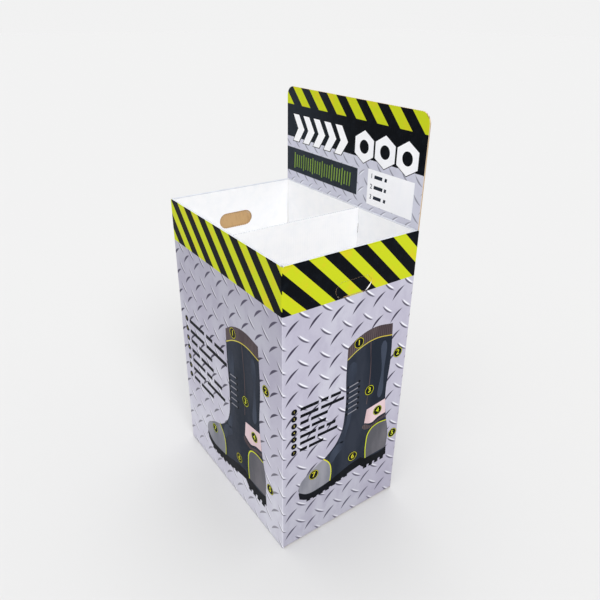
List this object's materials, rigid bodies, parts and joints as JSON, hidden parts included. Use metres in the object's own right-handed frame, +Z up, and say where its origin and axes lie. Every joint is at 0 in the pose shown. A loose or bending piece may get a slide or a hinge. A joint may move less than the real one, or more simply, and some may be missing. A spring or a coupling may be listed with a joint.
{
  "type": "cardboard dump bin",
  "caption": "Free-standing corrugated dump bin with rolled rims, a divided well on a raised shelf, push-in hand holes and a header card standing at the back.",
  "frame": {"origin": "centre of the footprint, on the floor", "axes": "+Z up; the front panel faces -Y and the header card stands at +Y; +X is the right side seen from the front"},
  "size_m": [0.5, 0.355, 0.992],
  "materials": {
    "printed_board": "satin print on white-faced corrugated board",
    "white_board": "matt white liner",
    "kraft_board": "matt brown liner"
  },
  "bodies": {
    "bin": {"body": "printed_board", "header_card": "printed_board", "divider": "white_board", "shelf_tray": "white_board", "support_long": "kraft_board", "support_cross_left": "kraft_board", "support_cross_right": "kraft_board"},
    "left_flap": {"left_hand_flap": "printed_board"},
    "right_flap": {"right_hand_flap": "printed_board"}
  },
  "joints": [
    {"name": "left_flap_swing", "type": "hinge", "parent": "bin", "child": "left_flap", "pos_m": [-0.247, 0, 0.6805], "axis": [0, -1, 0], "range_deg": [0, 88]},
    {"name": "right_flap_swing", "type": "hinge", "parent": "bin", "child": "right_flap", "pos_m": [0.247, 0, 0.6805], "axis": [0, 1, 0], "range_deg": [0, 88]}
  ]
}
